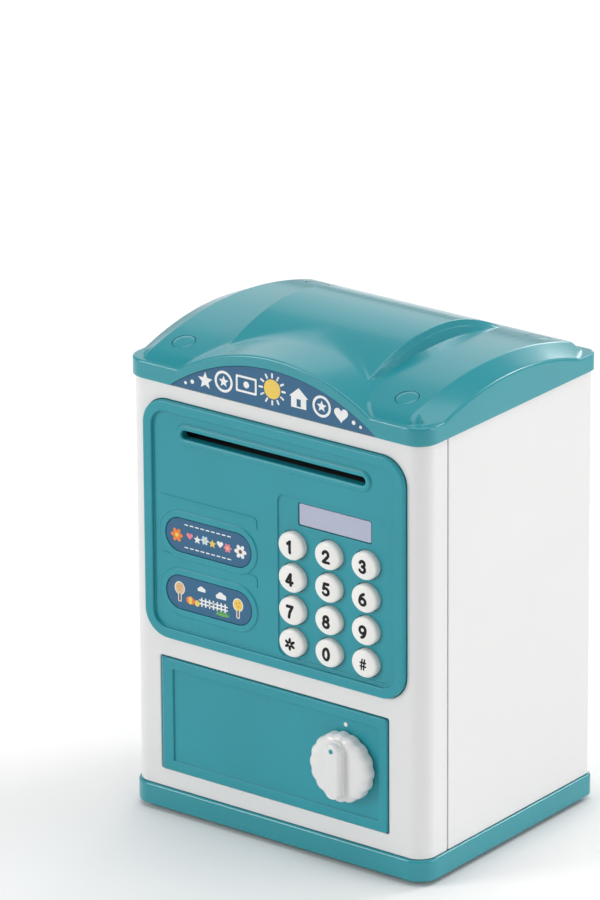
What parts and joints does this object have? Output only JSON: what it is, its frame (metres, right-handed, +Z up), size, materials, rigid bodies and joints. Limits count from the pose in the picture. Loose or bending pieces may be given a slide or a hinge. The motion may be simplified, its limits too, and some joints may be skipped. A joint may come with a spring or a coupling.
{
  "type": "toy savings bank",
  "caption": "Toy cash-machine savings bank with a vaulted roof, a note slot, a numbered keypad, a blank display and a locking front door.",
  "frame": {"origin": "middle of the overall footprint, door knob included, on the plane that the feet stand on", "axes": "+X to the right seen from the front, +Y from the front to the back, +Z up"},
  "size_m": [0.132, 0.112, 0.1886],
  "materials": {
    "teal_plastic": "moulded teal plastic with a soft gloss",
    "white_plastic": "moulded white plastic with a soft gloss",
    "label_print": "printed film, dark blue",
    "key_plastic": "domed off-white keys with printed numerals",
    "display_film": "blank grey-lavender display window",
    "rubber": "matt black rubber",
    "circuit_board": "green laminate",
    "steel": "plain bright steel",
    "dark_plastic": "matt black plastic",
    "natural_plastic": "undyed milky plastic",
    "battery_cell": "dark sleeve over a cell, with the density of aluminium"
  },
  "bodies": {
    "case": {"base_plate": "teal_plastic", "battery_1": "battery_cell", "battery_2": "battery_cell", "battery_3": "battery_cell", "battery_contact_front": "steel", "battery_contact_rear": "steel", "battery_lid": "teal_plastic", "coin_chute": "natural_plastic", "control_panel": "teal_plastic", "display_module": "dark_plastic", "display_window": "display_film", "door_hinge_pin": "steel", "feed_motor": "steel", "foot_1": "rubber", "foot_2": "rubber", "foot_3": "rubber", "foot_4": "rubber", "front_shell": "white_plastic", "inner_deck": "natural_plastic", "keypad_membrane": "rubber", "label_lower": "label_print", "label_upper": "label_print", "lock_solenoid": "dark_plastic", "main_board": "circuit_board", "note_guide": "natural_plastic", "rear_shell": "white_plastic", "roof": "teal_plastic", "roof_plug_1": "teal_plastic", "roof_plug_2": "teal_plastic", "roof_plug_3": "teal_plastic", "roof_plug_4": "teal_plastic", "roof_screw_1": "steel", "roof_screw_2": "steel", "roof_screw_3": "steel", "roof_screw_4": "steel", "sign_label": "label_print", "speaker": "dark_plastic"},
    "door": {"door": "teal_plastic"},
    "knob": {"door_knob": "white_plastic", "door_latch": "steel"},
    "lock_bolt": {"lock_bolt": "steel"},
    "feed_roller": {"feed_shaft": "steel", "drive_tyre_left": "rubber", "drive_tyre_right": "rubber", "roller_gear": "natural_plastic"},
    "motor_pinion": {"motor_pinion": "natural_plastic"},
    "pinch_roller": {"pinch_shaft": "steel", "pinch_roller": "natural_plastic"},
    "key_1": {"key_1": "key_plastic"},
    "key_2": {"key_2": "key_plastic"},
    "key_3": {"key_3": "key_plastic"},
    "key_4": {"key_4": "key_plastic"},
    "key_5": {"key_5": "key_plastic"},
    "key_6": {"key_6": "key_plastic"},
    "key_7": {"key_7": "key_plastic"},
    "key_8": {"key_8": "key_plastic"},
    "key_9": {"key_9": "key_plastic"},
    "key_star": {"key_star": "key_plastic"},
    "key_0": {"key_0": "key_plastic"},
    "key_hash": {"key_hash": "key_plastic"}
  },
  "joints": [
    {"name": "key_1_press", "type": "slide", "parent": "case", "child": "key_1", "axis": [0, 1, 0], "range_m": [0, 0.0012], "stiffness_N_per_m": 300, "springref_m": -0.0005},
    {"name": "key_2_press", "type": "slide", "parent": "case", "child": "key_2", "axis": [0, 1, 0], "range_m": [0, 0.0012], "stiffness_N_per_m": 300, "springref_m": -0.0005},
    {"name": "key_3_press", "type": "slide", "parent": "case", "child": "key_3", "axis": [0, 1, 0], "range_m": [0, 0.0012], "stiffness_N_per_m": 300, "springref_m": -0.0005},
    {"name": "key_4_press", "type": "slide", "parent": "case", "child": "key_4", "axis": [0, 1, 0], "range_m": [0, 0.0012], "stiffness_N_per_m": 300, "springref_m": -0.0005},
    {"name": "key_5_press", "type": "slide", "parent": "case", "child": "key_5", "axis": [0, 1, 0], "range_m": [0, 0.0012], "stiffness_N_per_m": 300, "springref_m": -0.0005},
    {"name": "key_6_press", "type": "slide", "parent": "case", "child": "key_6", "axis": [0, 1, 0], "range_m": [0, 0.0012], "stiffness_N_per_m": 300, "springref_m": -0.0005},
    {"name": "key_7_press", "type": "slide", "parent": "case", "child": "key_7", "axis": [0, 1, 0], "range_m": [0, 0.0012], "stiffness_N_per_m": 300, "springref_m": -0.0005},
    {"name": "key_8_press", "type": "slide", "parent": "case", "child": "key_8", "axis": [0, 1, 0], "range_m": [0, 0.0012], "stiffness_N_per_m": 300, "springref_m": -0.0005},
    {"name": "key_9_press", "type": "slide", "parent": "case", "child": "key_9", "axis": [0, 1, 0], "range_m": [0, 0.0012], "stiffness_N_per_m": 300, "springref_m": -0.0005},
    {"name": "key_star_press", "type": "slide", "parent": "case", "child": "key_star", "axis": [0, 1, 0], "range_m": [0, 0.0012], "stiffness_N_per_m": 300, "springref_m": -0.0005},
    {"name": "key_0_press", "type": "slide", "parent": "case", "child": "key_0", "axis": [0, 1, 0], "range_m": [0, 0.0012], "stiffness_N_per_m": 300, "springref_m": -0.0005},
    {"name": "key_hash_press", "type": "slide", "parent": "case", "child": "key_hash", "axis": [0, 1, 0], "range_m": [0, 0.0012], "stiffness_N_per_m": 300, "springref_m": -0.0005},
    {"name": "door_hinge", "type": "hinge", "parent": "case", "child": "door", "pos_m": [-0.05, -0.0459, 0.039], "axis": [0, 0, -1], "range_deg": [0, 100]},
    {"name": "knob_turn", "type": "hinge", "parent": "door", "child": "knob", "pos_m": [0.031, -0.0476, 0.039], "axis": [0, -1, 0], "range_deg": [0, 90]},
    {"name": "bolt_slide", "type": "slide", "parent": "case", "child": "lock_bolt", "axis": [0, 0, 1], "range_m": [0, 0.0065], "stiffness_N_per_m": 60, "springref_m": -0.002},
    {"name": "feed_roll", "type": "hinge", "parent": "case", "child": "feed_roller", "pos_m": [0, -0.03, 0.1425], "axis": [1, 0, 0], "continuous": true},
    {"name": "motor_spin", "type": "hinge", "parent": "case", "child": "motor_pinion", "pos_m": [0, -0.03, 0.12855], "axis": [1, 0, 0], "continuous": true},
    {"name": "pinch_roll", "type": "hinge", "parent": "case", "child": "pinch_roller", "pos_m": [0, -0.03, 0.1519], "axis": [1, 0, 0], "continuous": true}
  ],
  "couplings": [
    {"joint": "motor_spin", "follows": "feed_roll", "ratio": -2.8333},
    {"joint": "pinch_roll", "follows": "feed_roll", "ratio": -1.25}
  ]
}
